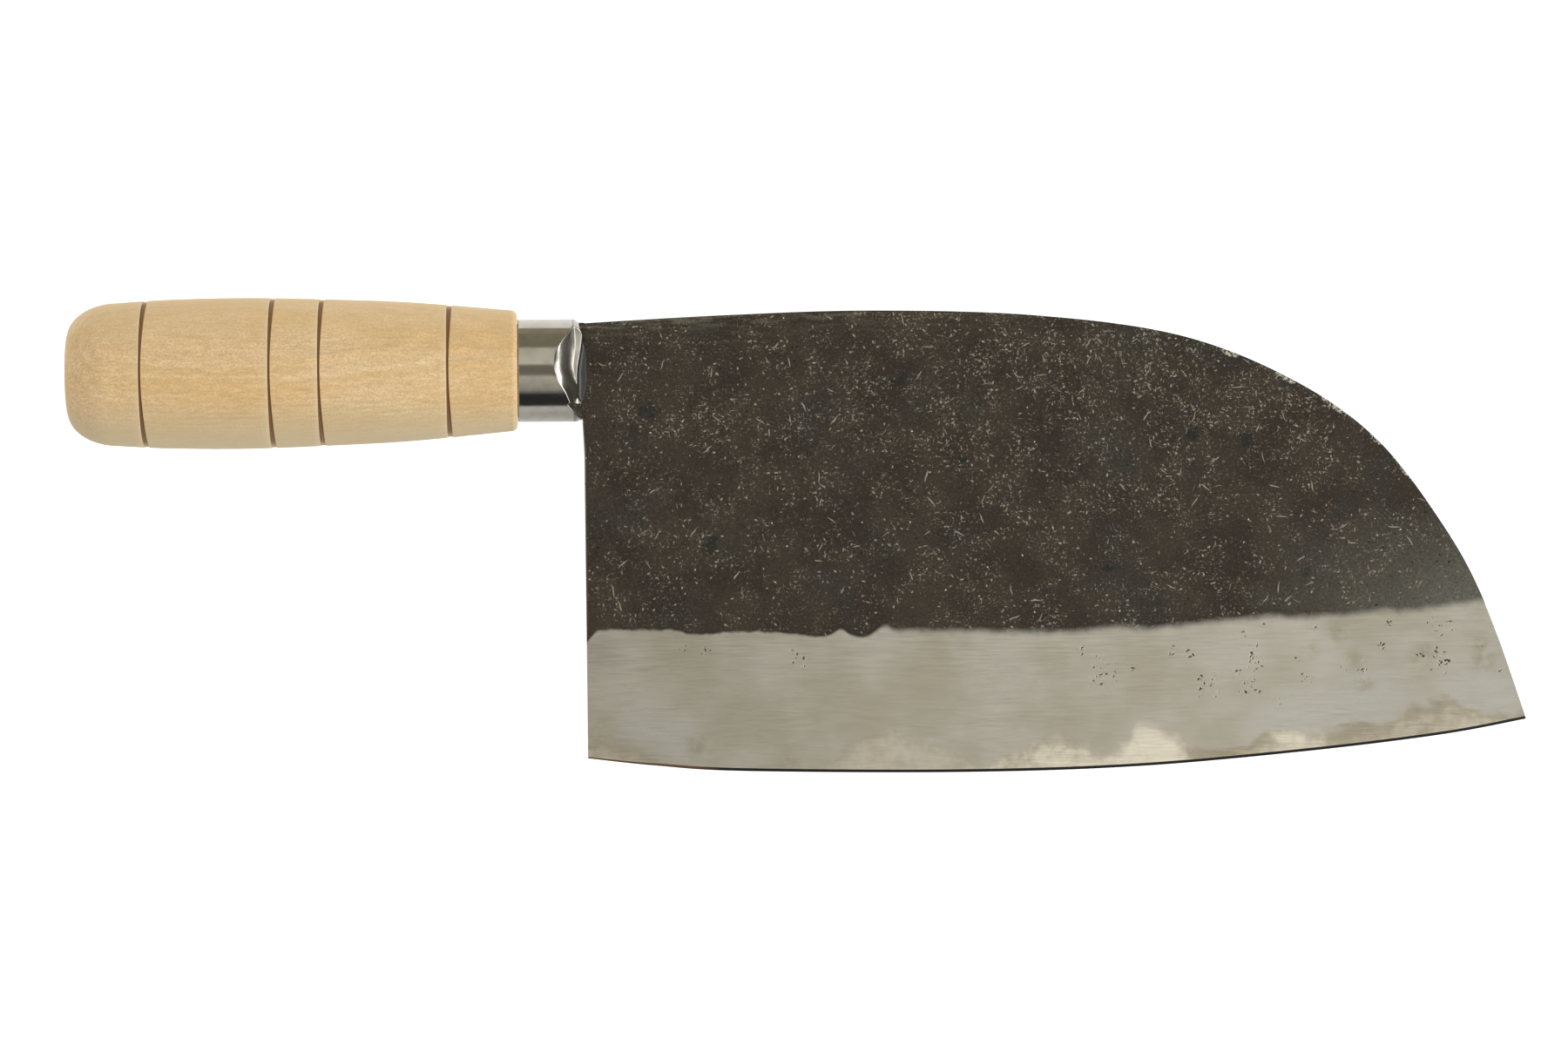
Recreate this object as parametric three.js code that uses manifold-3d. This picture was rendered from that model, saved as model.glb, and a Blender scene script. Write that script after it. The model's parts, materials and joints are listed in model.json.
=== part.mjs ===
import * as THREE from 'three';
import Module from 'manifold-3d';

const wasm = await Module();
wasm.setup();

// A wide kitchen knife in millimetres: layered blade, steel ferrule and turned handle.
// It is shaped with X along the handle towards the tip, Y towards the spine and Z through
// the blade, measured from the ferrule mouth, and is then laid on its side at rest.

// Blade
const BLADE_LENGTH = 199.8;
const BLADE_HEIGHT = 97.7;
const CROWN_RISE = 12.2; // top of the spine above the handle axis
const HEEL_STEP = 0.6; // heel line ahead of the ferrule mouth
const HEEL_CURVE = 8; // drop of the curve from the neck into the heel
const HEEL_CURVE_RUN = 0.65; // share of the heel step that the curve takes
const SPINE_THICKNESS = 3.2;
const NOSE_TAPER = 0.7; // thickness lost from heel to tip
const FACE_TAPER = 1.45; // thickness lost from spine to edge before grinding
const CORE_THICKNESS = 0.64;
const WELD_GAP = 0.03; // between the core and each cladding
const EDGE_THICKNESS = 0.4; // just behind the cutting bevel
const CUTTING_BEVEL = 0.45;

// Outline points are shares of blade length and of blade height below the crown.
const SPINE = [
  [0, 0.024], [0.14, 0.009], [0.3, 0], [0.475, 0.012], [0.63, 0.057], [0.75, 0.154],
  [0.84, 0.284], [0.91, 0.469], [0.955, 0.639], [1, 0.898],
];
const EDGE = [
  [0, 0.961], [0.07, 0.978], [0.163, 0.992], [0.39, 1], [0.58, 0.992], [0.765, 0.963],
  [0.91, 0.93], [1, 0.898],
];
const GROUND = [[0, 0.691], [0.3, 0.698], [0.6, 0.688], [0.82, 0.669], [0.955, 0.639], [1, 0.625]];

// Tang
const TANG_LENGTH = 62;
const TANG_HEIGHT = 7.6;
const TANG_THICKNESS = 3;
const TANG_END = 0.6; // share of the root size left at the end
const NECK_LENGTH = 3.4;
const SHOULDER_LENGTH = 2.6;

// Ferrule
const FERRULE_DIAMETER = 21.6;
const FERRULE_LENGTH = 13.45;
const FERRULE_WALL = 0.9;
const MOUTH_ROUND = 2;
const LIP_WIDTH = 6;
const SCOOP_LENGTH = 6.7;
const SCOOP_EASE = [0.55, 0.5]; // shares of the scoop over which it leaves the wall and meets the lip
const RIM_DIP = 1.5;
const SLOT_LEDGE = 0.7; // steel left above and below the slot
const NECK_CLEARANCE = 0.15;

// Handle
const HANDLE_LENGTH = 93.65;
const HANDLE_DIAMETER = 31.6;
const BUTT_FLAT = 16;
const BUTT_ROUND = 10.4;
const BUTT_CORNER = 0.946; // share of the radius where the butt's round starts
// Barrel as shares of its length and of the largest radius.
const BARREL = [[0.13, 0.985], [0.33, 1], [0.55, 0.968], [0.75, 0.92]];
const FRONT_LEDGE = 1.8; // wood standing proud of the ferrule
const FRONT_ROUND = 1.4;
const SPIGOT_LENGTH = 5.3;
const BORE_CLEARANCE = 0.5; // between the tang's corners and the bore
const BORE_SPARE = 4; // bore left past the tang's end
const GROOVES = [0.1705, 0.4532, 0.5621, 0.845]; // shares of the handle length from the butt
const GROOVE_WIDTH = 1;
const GROOVE_DEPTH = 0.8;
const GROOVE_LEAN = 0.25; // share of the groove on the butt side of its deepest line

// Resin
const BEAD_BULGE = 0.95;
const BEAD_HEIGHT = 14.4;
const GAP = 0.08;

// Facets
const SIDES = 48;
const BLADE_STEPS = 24;
const SCOOP_STEPS = 12;
const BEAD_STEPS = 16;
const BARREL_STEPS = 14;
const ROUND_STEPS = 6;

// Densities in grams per cubic centimetre
const STEEL = 7.85;
const RESIN = 1.2;
const WOOD = 0.65;

// Turns, in radians, while the knife settles on its side
const FIRST_TURN = 0.02;
const LAST_TURN = 1e-7;
const TURN_SHARE = 0.99;

const tip = HEEL_STEP + BLADE_LENGTH;
const coreHalf = CORE_THICKNESS / 2;
const weldHalf = coreHalf + WELD_GAP;
const ferruleRadius = FERRULE_DIAMETER / 2;
const slotHalf = LIP_WIDTH / 2 - FERRULE_WALL;
const slotHeight = ferruleRadius - SLOT_LEDGE;
const neckHeight = slotHeight - NECK_CLEARANCE;
const tangRoot = -NECK_LENGTH - SHOULDER_LENGTH;
const handleFront = -FERRULE_LENGTH - GAP;
const butt = handleFront - HANDLE_LENGTH;
const spigotFront = handleFront + SPIGOT_LENGTH;
const spigotRadius = ferruleRadius - FERRULE_WALL - GAP;
const boreRadius = Math.hypot(TANG_HEIGHT, TANG_THICKNESS) / 2 + BORE_CLEARANCE;
const boreEnd = -TANG_LENGTH - BORE_SPARE;

// Closed surface through equal rings of points; points that meet share one vertex.
function loft(rings, closed = false) {
  const positions = [];
  const index = [];
  const known = new Map();
  const vertex = (point) => {
    const key = point.map((value) => Math.round(value * 1e5)).join();
    if (!known.has(key)) {
      known.set(key, positions.length / 3);
      positions.push(...point);
    }
    return known.get(key);
  };
  const face = (a, b, c) => {
    if (a !== b && b !== c && c !== a) index.push(a, b, c);
  };
  const ids = rings.map((ring) => ring.map(vertex));
  const spans = closed ? ids.length : ids.length - 1;
  for (let i = 0; i < spans; i++) {
    const near = ids[i];
    const far = ids[(i + 1) % ids.length];
    near.forEach((a, j) => {
      const k = (j + 1) % near.length;
      face(a, near[k], far[k]);
      face(a, far[k], far[j]);
    });
  }
  if (!closed) {
    const first = ids[0];
    const last = ids[ids.length - 1];
    for (let j = 1; j < first.length - 1; j++) {
      face(first[0], first[j + 1], first[j]);
      face(last[0], last[j], last[j + 1]);
    }
  }
  const geometry = new THREE.BufferGeometry();
  geometry.setAttribute('position', new THREE.Float32BufferAttribute(positions, 3));
  geometry.setIndex(index);
  return geometry;
}

// Body turned about X from a closed profile of [x, radius] points.
function revolve(profile) {
  const rings = [];
  for (let i = 0; i < SIDES; i++) {
    const angle = (2 * Math.PI * i) / SIDES;
    rings.push(profile.map(([x, r]) => [x, r * Math.cos(angle), r * Math.sin(angle)]));
  }
  return loft(rings, true);
}

// Quarter ellipse from [x, r + rise] at its top to [x + run, r] at its end.
function quarter(x, r, run, rise) {
  const points = [];
  for (let i = 0; i <= ROUND_STEPS; i++) {
    const angle = (Math.PI / 2) * (1 - i / ROUND_STEPS);
    points.push([x + run * Math.cos(angle), r + rise * Math.sin(angle)]);
  }
  return points;
}

const block = (x, height, half) => [
  [x, height, -half], [x, height, half], [x, -height, half], [x, -height, -half],
];

function solid(geometry) {
  return new wasm.Manifold(new wasm.Mesh({
    numProp: 3,
    vertProperties: new Float32Array(geometry.attributes.position.array),
    triVerts: new Uint32Array(geometry.index.array),
  }));
}

function surface(manifold) {
  const mesh = manifold.getMesh();
  const geometry = new THREE.BufferGeometry();
  geometry.setAttribute('position', new THREE.Float32BufferAttribute(mesh.vertProperties, 3));
  geometry.setIndex(Array.from(mesh.triVerts));
  return geometry;
}

function crossing(difference, from, to) {
  let low = from;
  let high = to;
  const sign = Math.sign(difference(low));
  for (let i = 0; i < 60; i++) {
    const middle = (low + high) / 2;
    if (Math.sign(difference(middle)) === sign) low = middle;
    else high = middle;
  }
  return (low + high) / 2;
}

// Height of a smooth curve through the points at a given x.
function heights(points) {
  const curve = new THREE.SplineCurve(points.map(([x, y]) => new THREE.Vector2(x, y)));
  return (x) => curve.getPoint(crossing((t) => curve.getPoint(t).x - x, 0, 1)).y;
}

const onBlade = ([along, below]) => [
  HEEL_STEP + along * BLADE_LENGTH, CROWN_RISE - below * BLADE_HEIGHT,
];
const spineAt = heights(SPINE.map(onBlade));
const edgeAt = heights(EDGE.map(onBlade));
const groundAt = heights(GROUND.map(onBlade));

// Half thickness of the forged plate before grinding.
function plateHalf(x, y) {
  const along = (x - HEEL_STEP) / BLADE_LENGTH;
  const below = (CROWN_RISE - y) / BLADE_HEIGHT;
  return (SPINE_THICKNESS - NOSE_TAPER * along - FACE_TAPER * below) / 2;
}

// Half thickness of the finished blade: cutting bevel, ground bevel, then plate.
function bladeHalf(x, y) {
  const shoulder = edgeAt(x) + CUTTING_BEVEL;
  const ground = groundAt(x);
  if (y >= ground) return plateHalf(x, y);
  if (y <= shoulder) return (EDGE_THICKNESS / 2) * ((y - edgeAt(x)) / CUTTING_BEVEL);
  const share = (y - shoulder) / (ground - shoulder);
  return THREE.MathUtils.lerp(EDGE_THICKNESS / 2, plateHalf(x, ground), share);
}

// Line on the ground bevel where the blade is a given half thickness.
function layerLine(x, half) {
  const shoulder = edgeAt(x) + CUTTING_BEVEL;
  const ground = groundAt(x);
  const rise = plateHalf(x, ground) - EDGE_THICKNESS / 2;
  return shoulder + ((half - EDGE_THICKNESS / 2) / rise) * (ground - shoulder);
}

const noseStart = crossing((x) => spineAt(x) - groundAt(x), tip - BLADE_LENGTH / 3, tip);
const claddingEnd = crossing((x) => spineAt(x) - layerLine(x, weldHalf), noseStart, tip);
const coreEnd = crossing((x) => spineAt(x) - layerLine(x, coreHalf), noseStart, tip);
const stations = [noseStart, claddingEnd, coreEnd];
for (let i = 0; i <= BLADE_STEPS; i++) {
  stations.push(HEEL_STEP + BLADE_LENGTH * Math.sin((Math.PI / 2) * (i / BLADE_STEPS)));
}
stations.sort((a, b) => a - b);

// Tang and neck as [x, half height, half thickness].
const tangStations = [
  [-TANG_LENGTH, (TANG_HEIGHT / 2) * TANG_END, (TANG_THICKNESS / 2) * TANG_END],
  [tangRoot, TANG_HEIGHT / 2, TANG_THICKNESS / 2],
  [-NECK_LENGTH, neckHeight, TANG_THICKNESS / 2],
  [0, neckHeight, plateHalf(HEEL_STEP, 0)],
];
// The same up to the heel as [x, top, bottom, half thickness].
const heelStations = [
  ...tangStations.map(([x, height, half]) => [x, height, -height, half]),
  [HEEL_CURVE_RUN * HEEL_STEP, neckHeight, -neckHeight - HEEL_CURVE, plateHalf(HEEL_STEP, 0)],
];

function claddingRing(x, top, ground, line) {
  return [
    [x, top, weldHalf], [x, top, bladeHalf(x, top)],
    [x, ground, bladeHalf(x, ground)], [x, line, weldHalf],
  ];
}

function cladding() {
  const rings = heelStations.map(([x, top, bottom, half]) => [
    [x, top, weldHalf], [x, top, half], [x, bottom, half], [x, bottom, weldHalf],
  ]);
  stations.filter((x) => x < claddingEnd).forEach((x) => {
    const top = spineAt(x);
    rings.push(claddingRing(x, top, Math.min(groundAt(x), top), layerLine(x, weldHalf)));
  });
  rings.push(Array(4).fill([claddingEnd, spineAt(claddingEnd), weldHalf]));
  return loft(rings);
}

function core() {
  const flank = (x, y) => [x, y, Math.min(coreHalf, bladeHalf(x, y))];
  const ring = (half) => [
    ...half, ...half.slice(0, -1).reverse().map(([x, y, z]) => [x, y, -z]),
  ];
  const rings = heelStations.map(([x, top, bottom]) => ring([
    [x, top, coreHalf], [x, bottom, coreHalf],
    [x, bottom, EDGE_THICKNESS / 2], [x, bottom, 0],
  ]));
  stations.forEach((x) => {
    const top = spineAt(x);
    const line = Math.min(layerLine(x, coreHalf), top);
    const shoulder = Math.min(edgeAt(x) + CUTTING_BEVEL, top);
    rings.push(ring([flank(x, top), flank(x, line), flank(x, shoulder), [x, edgeAt(x), 0]]));
  });
  return loft(rings);
}

// Tang and neck with clearance, running on past the mouth.
function tangPocket() {
  const rings = tangStations.map(([x, height, half]) => block(x, height + GAP, half + GAP));
  rings.unshift(block(-TANG_LENGTH - GAP, ...tangStations[0].slice(1).map((v) => v + GAP)));
  rings.push(block(2 * BEAD_BULGE, neckHeight + GAP, SPINE_THICKNESS / 2 + GAP));
  return solid(loft(rings));
}

// Pinched ferrule form drawn in from its outer skin.
function ferruleForm(inset, back) {
  const radius = ferruleRadius - inset;
  const arc = quarter(-MOUTH_ROUND, radius - MOUTH_ROUND, MOUTH_ROUND - inset, MOUTH_ROUND);
  const body = solid(revolve([[back, 0], [-inset, 0], ...arc.reverse(), [back, radius]]));
  const sweep = new THREE.CubicBezierCurve(
    new THREE.Vector2(-SCOOP_LENGTH, ferruleRadius),
    new THREE.Vector2((SCOOP_EASE[0] - 1) * SCOOP_LENGTH, ferruleRadius),
    new THREE.Vector2(-SCOOP_EASE[1] * SCOOP_LENGTH, LIP_WIDTH / 2),
    new THREE.Vector2(0, LIP_WIDTH / 2),
  );
  const outside = 2 * ferruleRadius;
  const points = [[MOUTH_ROUND, outside], [-SCOOP_LENGTH - inset, outside]];
  points.push([-SCOOP_LENGTH - inset, ferruleRadius - inset]);
  for (let i = 0; i <= SCOOP_STEPS; i++) {
    const point = sweep.getPoint(i / SCOOP_STEPS);
    const tangent = sweep.getTangent(i / SCOOP_STEPS);
    points.push([point.x + inset * tangent.y, point.y - inset * tangent.x]);
  }
  points.push([MOUTH_ROUND, LIP_WIDTH / 2 - inset]);
  const across = (y) => points.map(([x, z]) => [x, y, z]);
  const scoop = loft([across(outside), across(-outside)]);
  return body.subtract(solid(scoop)).subtract(solid(scoop.clone().rotateX(Math.PI)));
}

function ferrule() {
  const bowl = (slotHeight ** 2 + RIM_DIP ** 2) / (2 * RIM_DIP);
  const circle = (z) => Array.from({ length: 2 * SIDES }, (_, i) => {
    const angle = (Math.PI * i) / SIDES;
    return [bowl - RIM_DIP + bowl * Math.cos(angle), bowl * Math.sin(angle), z];
  });
  const slot = loft([
    block(-NECK_LENGTH - FERRULE_WALL, slotHeight, slotHalf),
    block(MOUTH_ROUND, slotHeight, slotHalf),
  ]);
  return surface(ferruleForm(0, -FERRULE_LENGTH)
    .subtract(ferruleForm(FERRULE_WALL, -2 * FERRULE_LENGTH))
    .subtract(solid(slot))
    .subtract(solid(loft([circle(-FERRULE_DIAMETER), circle(FERRULE_DIAMETER)]))));
}

function mouthSeal() {
  const half = slotHalf - GAP;
  const strips = [];
  for (let i = 0; i <= BEAD_STEPS; i++) {
    const y = (BEAD_HEIGHT / 2) * Math.cos((Math.PI * i) / BEAD_STEPS);
    const bulge = BEAD_BULGE * (1 - ((2 * y) / BEAD_HEIGHT) ** 2);
    strips.push([
      [-NECK_LENGTH, y, -half], [bulge, y, -half], [bulge, y, half], [-NECK_LENGTH, y, half],
    ]);
  }
  return surface(ferruleForm(FERRULE_WALL + GAP, spigotFront + GAP)
    .add(solid(loft(strips)))
    .subtract(tangPocket()));
}

function resinBed() {
  const radius = boreRadius - GAP;
  const back = boreEnd + GAP;
  const front = spigotFront - GAP;
  const plug = revolve([[back, 0], [front, 0], [front, radius], [back, radius]]);
  return surface(solid(plug).subtract(tangPocket()));
}

function handle() {
  const radius = HANDLE_DIAMETER / 2;
  const front = ferruleRadius + FRONT_LEDGE;
  const corner = [butt + BUTT_ROUND, BUTT_CORNER * radius];
  const span = handleFront - FRONT_ROUND - corner[0];
  const radiusAt = heights([
    corner, ...BARREL.map(([s, r]) => [corner[0] + s * span, r * radius]), [handleFront, front],
  ]);
  const deepest = GROOVES.map((share) => butt + share * HANDLE_LENGTH);
  const clear = (x) => deepest.every((line) => Math.abs(x - line) > GROOVE_WIDTH);
  const marks = [];
  for (let i = 0; i < BARREL_STEPS; i++) {
    const x = corner[0] + (span * i) / BARREL_STEPS;
    if (clear(x)) marks.push([x, 0]);
  }
  deepest.forEach((line) => {
    const back = line - GROOVE_LEAN * GROOVE_WIDTH;
    marks.push([back, 0], [line, GROOVE_DEPTH], [back + GROOVE_WIDTH, 0]);
  });
  marks.sort((a, b) => b[0] - a[0]);
  const round = radiusAt(handleFront - FRONT_ROUND) - FRONT_ROUND;
  const flat = BUTT_FLAT / 2;
  const buttCurve = quarter(corner[0], flat, -BUTT_ROUND, corner[1] - flat).slice(1);
  return revolve([
    [butt, 0], [boreEnd, 0], [boreEnd, boreRadius], [spigotFront, boreRadius],
    [spigotFront, spigotRadius], [handleFront, spigotRadius],
    ...quarter(handleFront - FRONT_ROUND, round, FRONT_ROUND, FRONT_ROUND).reverse(),
    ...marks.map(([x, depth]) => [x, radiusAt(x) - depth]),
    ...buttCurve,
  ]);
}

// Volume, and volume times centre, of a closed surface.
function weigh(geometry) {
  const corners = geometry.index.array;
  const at = (i) => new THREE.Vector3().fromBufferAttribute(geometry.attributes.position, corners[i]);
  const moment = new THREE.Vector3();
  let volume = 0;
  for (let i = 0; i < corners.length; i += 3) {
    const [a, b, c] = [at(i), at(i + 1), at(i + 2)];
    const share = a.dot(b.clone().cross(c)) / 6;
    volume += share;
    moment.addScaledVector(a.add(b).add(c), share / 4);
  }
  return { volume, moment };
}

// Upward direction when the knife lies still: its centre of mass is as low as it can be.
function restingUp(pieces) {
  const centre = new THREE.Vector3();
  const points = [];
  let mass = 0;
  pieces.forEach(({ geometry, density }) => {
    const { volume, moment } = weigh(geometry);
    mass += density * volume;
    centre.addScaledVector(moment, density);
    const positions = geometry.attributes.position;
    for (let i = 0; i < positions.count; i++) {
      points.push(new THREE.Vector3().fromBufferAttribute(positions, i));
    }
  });
  centre.divideScalar(mass);
  const up = new THREE.Vector3(0, 0, 1);
  for (let turn = FIRST_TURN; turn > LAST_TURN; turn *= TURN_SHARE) {
    const low = points.reduce((a, b) => (a.dot(up) < b.dot(up) ? a : b));
    const lever = centre.clone().sub(low);
    lever.addScaledVector(up, -lever.dot(up)).normalize();
    up.addScaledVector(lever, -turn).normalize();
  }
  return up;
}

// Same surface on the other face of the blade.
function mirrored(geometry) {
  const copy = geometry.clone().scale(1, 1, -1);
  const corners = Array.from(copy.index.array);
  for (let i = 0; i < corners.length; i += 3) {
    [corners[i], corners[i + 1]] = [corners[i + 1], corners[i]];
  }
  copy.setIndex(corners);
  return copy;
}

function piece(name, geometry, density, color, roughness, metalness) {
  return { name, geometry, density, look: { color, roughness, metalness } };
}

const left = cladding();
const pieces = [
  piece('blade_core', core(), STEEL, 0xa9a49b, 0.35, 1),
  piece('cladding_left', left, STEEL, 0x4a433d, 0.6, 0.8),
  piece('cladding_right', mirrored(left), STEEL, 0x4a433d, 0.6, 0.8),
  piece('ferrule', ferrule(), STEEL, 0xc9c9c7, 0.15, 1),
  piece('mouth_seal', mouthSeal(), RESIN, 0x2b2a28, 0.15, 0),
  piece('resin_bed', resinBed(), RESIN, 0x6b5f4a, 0.3, 0),
  piece('handle', handle(), WOOD, 0xdabb8c, 0.55, 0),
];

const knife = new THREE.Group();
pieces.forEach(({ name, geometry, look }) => {
  const flat = geometry.toNonIndexed();
  flat.computeVertexNormals();
  const mesh = new THREE.Mesh(flat, new THREE.MeshStandardMaterial(look));
  mesh.name = name;
  knife.add(mesh);
});
knife.quaternion.setFromUnitVectors(restingUp(pieces), new THREE.Vector3(0, 0, 1));

const root = new THREE.Group();
root.add(knife);
const box = new THREE.Box3().setFromObject(root, true);
knife.position.set(-(box.min.x + box.max.x) / 2, -(box.min.y + box.max.y) / 2, -box.min.z);

export default root;
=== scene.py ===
import json
import math

import bmesh
import bpy
import numpy as np
from mathutils import Matrix, Vector, noise


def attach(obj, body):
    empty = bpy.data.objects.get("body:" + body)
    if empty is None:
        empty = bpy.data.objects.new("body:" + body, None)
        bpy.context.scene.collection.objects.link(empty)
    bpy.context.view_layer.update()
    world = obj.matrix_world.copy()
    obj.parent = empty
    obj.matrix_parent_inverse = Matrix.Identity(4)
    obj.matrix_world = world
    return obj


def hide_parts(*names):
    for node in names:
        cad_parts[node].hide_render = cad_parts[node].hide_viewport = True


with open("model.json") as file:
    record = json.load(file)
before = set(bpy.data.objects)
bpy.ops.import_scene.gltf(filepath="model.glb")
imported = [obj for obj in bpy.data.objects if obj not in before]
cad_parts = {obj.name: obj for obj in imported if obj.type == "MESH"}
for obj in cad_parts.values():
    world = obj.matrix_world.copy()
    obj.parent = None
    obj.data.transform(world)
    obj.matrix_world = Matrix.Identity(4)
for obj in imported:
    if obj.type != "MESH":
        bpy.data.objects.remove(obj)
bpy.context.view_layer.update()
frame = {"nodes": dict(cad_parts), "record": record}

# Sizes in millimetres, in the knife's own frame: x along the handle towards the tip,
# y towards the spine, z through the blade, measured from the ferrule mouth.
MM = 0.001

# Blade: outline, thickness and layers.
BLADE_LENGTH = 199.8
BLADE_HEIGHT = 97.7
CROWN_RISE = 12.2
HEEL_STEP = 0.6
HEEL_CURVE = 8.0
HEEL_CURVE_RUN = 0.65
SPINE_THICKNESS = 3.2
NOSE_TAPER = 0.7
FACE_TAPER = 1.45
CORE_HALF = 0.32
WELD_HALF = 0.35
EDGE_HALF = 0.2
CUTTING_BEVEL = 0.45
SPINE_ROUND = 0.3
FORGED_UNEVENNESS = 0.03
TIP = HEEL_STEP + BLADE_LENGTH
SPARE = 0.003

# Fineness of the meshes, and the size of the marks on the forged flat.
MERGE_DISTANCE = 0.002
THIN_EDGE = 0.0005
STATIONS = 420
NOSE_CROWDING = 0.35
ROUND_ROWS = 4
ROUND_SHARE = 0.6
FLAT_ROWS = 46
BEVEL_ROWS = 40
CORE_ROWS = 12
HAMMER_LENGTH = 17
HAMMER_HEIGHT = 14
DIMPLE = 6
FLAT_MARGIN = 6

# Outline points as shares of blade length and of blade height below the crown.
SPINE = [
    (0, 0.024), (0.14, 0.009), (0.3, 0), (0.475, 0.012), (0.63, 0.057), (0.75, 0.154),
    (0.84, 0.284), (0.91, 0.469), (0.955, 0.639), (1, 0.898),
]
EDGE = [
    (0, 0.961), (0.07, 0.978), (0.163, 0.992), (0.39, 1), (0.58, 0.992), (0.765, 0.963),
    (0.91, 0.93), (1, 0.898),
]
GROUND = [(0, 0.691), (0.3, 0.698), (0.6, 0.688), (0.82, 0.669), (0.955, 0.639), (1, 0.625)]

# Where the black scale stops: it wanders about the ground line.
SCALE_LINE = [
    (0, -58), (1.5, -56.2), (4.4, -55), (19, -54.9), (22.8, -55.8), (36, -55.5), (47, -56.5),
    (51.4, -56.6), (54.2, -55), (56.8, -56.7), (60, -56.4), (63.4, -54.8), (67, -55.8),
    (80, -56), (101, -56.3), (112.6, -55.4), (119, -55.7), (134, -54.4), (145, -53.5),
    (155, -53.7), (169, -52.3), (175, -52.5), (191, -50.4), (201, -48),
]
# Height above the edge of the cloudy line where the hard core comes to the surface, how clearly
# that line shows and how bright the bare core is, all along the blade.
CORE_LINE = [
    (0, 3.6), (5, 3.7), (12.5, 2.2), (19, 1.4), (46, 1.4), (51.4, 2.8), (57.5, 6.9), (64, 8.6),
    (70, 7), (82, 2.4), (92.7, 3.4), (95.4, 5.4), (100.7, 6.5), (104, 4.3), (110, 2.9),
    (114.4, 4.6), (117, 7.8), (123.7, 6.8), (127, 4.5), (129, 1.8), (139, 2.4), (144.4, 4.4),
    (154, 3.8), (164, 4.3), (169, 3.6), (175, 5.7), (181, 7.2), (184, 7), (190, 3.9), (197, 1.5),
    (201, 2.1),
]
CORE_SHOWS = [(0, 0.8), (14, 0.7), (20, 0.3), (46, 0.3), (58, 0.5), (84, 0.45), (96, 0.95), (201, 0.95)]
CORE_BRIGHT = [
    (0, 0.25), (50, 0.3), (60, 0.55), (90, 0.65), (116, 1), (125, 1), (130, 0.1), (140, 0),
    (149, 0.8), (154, 0.75), (161, 0), (166, 0), (172, 0.4), (176, 0.2), (184, 0.3), (190, 0.45),
    (196, 0.1), (201, 0),
]

# Marks on the blade as x, y and radius.
BLUE_PATCHES = [
    (14, -9, 2.6), (26.6, -36.8, 2.2), (129, -14, 2), (140.5, -15.7, 2), (67, -3, 2),
    (111, -43, 1.6), (153, -44, 1.6), (80, -19, 1.4),
]
WORN_EDGE = [(137, 3, 2), (149, -2.6, 2.4), (159.3, -9, 3.6), (167.5, -16.4, 2), (173, -23.3, 3)]
PIT_CLUSTERS = [
    (20.4, -58.4, 1.8), (25.7, -59.4, 0.9), (44.8, -60.7, 1.6), (105, -59.5, 1.6),
    (109.5, -65, 2.6), (116, -63.6, 0.8), (124, -60, 1), (128.2, -61, 1), (131.8, -67.5, 2.2),
    (138.2, -65, 0.9), (140, -56.7, 0.8), (142, -62, 2.2), (141.3, -68, 2), (144, -54.6, 0.8),
    (147, -70.8, 0.8), (151.8, -61.8, 0.9), (153, -66.3, 1.3), (155.2, -55.4, 0.9),
    (160.5, -64.3, 0.9), (165, -65, 0.9), (168.8, -59.5, 0.9), (171, -54.8, 0.8),
    (177.2, -61.3, 1.2), (181.7, -62.6, 1.8), (181, -55.3, 1.2), (184.4, -55.3, 1.3),
    (190.7, -60.7, 0.9), (194.4, -64.9, 0.9),
]
BROWN_STAINS = [
    (2.4, -76.9, 3), (23.5, -79.3, 2.5), (42.7, -83, 2), (153.8, -60.3, 1.8), (160, -56.7, 2.5),
    (163.6, -62.4, 2.5), (165.7, -67.6, 2), (176.8, -63, 2), (178.6, -61, 1.8), (190.6, -60, 2),
    (191.4, -63, 3),
]
WHITE_CLOUDS = [
    (12, -75, 5), (19, -77.5, 5), (150, -75, 8), (166, -71, 10), (192, -69, 7),
]
DULL_CORNER = [(4, -59, 4)]
DULL_SHARE = 0.6
# Share of pits in the middle of a cluster, how much of it is cut off so that clusters have an end,
# and the stray pits of the nose above a height over the edge.
CLUSTER_PITS = 1.1
PIT_CUT = 0.06
STRAY_PITS = 0.05
STRAY_HEIGHT = (9, 12)
# The nose gets paler along a run from its start and up to a height over the scale line, as painted
# sheen on the scale.
NOSE_START = 140
NOSE_RUN = 50
PALE_HEIGHT = 24
# How deep the worn marks and the thin rim of the spine reach, and where along it the rim fades.
WEAR_DEPTH = 0.75
RIM_DEPTH = 1.8
RIM_FADE = (110, 30)

# Tang and neck.
TANG_LENGTH = 62.0
TANG_END = 0.6
TANG_HEIGHT = 7.6
TANG_THICKNESS = 3.0
NECK_LENGTH = 3.4
NECK_HEIGHT = 9.95
SHOULDER_LENGTH = 2.6

# Ferrule: a turned cup with its mouth pressed to a slot.
FERRULE_RADIUS = 10.8
FERRULE_LENGTH = 13.45
FERRULE_WALL = 0.65
LIP_WALL = 0.9
MOUTH_ROUND = 2.2
MOUTH_DROP = 1.6
MOUTH_TILT = 1.0
# Places of its rings along the axis, and how far the rings at its ends and lines are drawn in.
RIM_LINES = (-12.95, -12.5)
RIM_LINE_HALF = 0.09
RIM_LINE_DEPTH = 0.025
BACK_EDGE = 0.15
PLAIN_PART = (-12.0, -8.2)
PRESSED_PART = (-8, -0.2)
FRONT_INSETS = {-0.1: 0.0, -0.03: 0.05, 0.0: 0.12}
FERRULE_SIDES = 480
PLAIN_RINGS = 6
PRESSED_RINGS = 90
INNER_STEP = 3
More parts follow.
